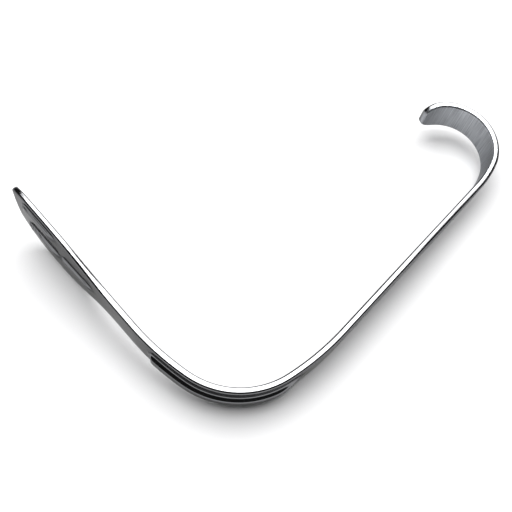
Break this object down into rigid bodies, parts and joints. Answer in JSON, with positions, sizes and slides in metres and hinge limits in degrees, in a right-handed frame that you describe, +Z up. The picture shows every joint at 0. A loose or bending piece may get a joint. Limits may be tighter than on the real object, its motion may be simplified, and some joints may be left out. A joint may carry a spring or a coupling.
{
  "type": "handheld surgical retractor",
  "caption": "Cheek retractor bent from one polished steel strip, with a broad cupped blade, an eased bend with a pressed bead, and a small inward hook.",
  "frame": {"origin": "on the table, under the middle of the part's box, with the strip lying on its far long edge", "axes": "+Z up from the table, +X from the blade's side to the hook's side, +Y from the bend towards the open side of the two arms"},
  "size_m": [0.1494, 0.0992, 0.0315],
  "materials": {
    "strip_steel": "polished stainless steel with a fine satin grain across the strip"
  },
  "bodies": {
    "root": {"retractor_strip": "strip_steel"}
  },
  "joints": []
}
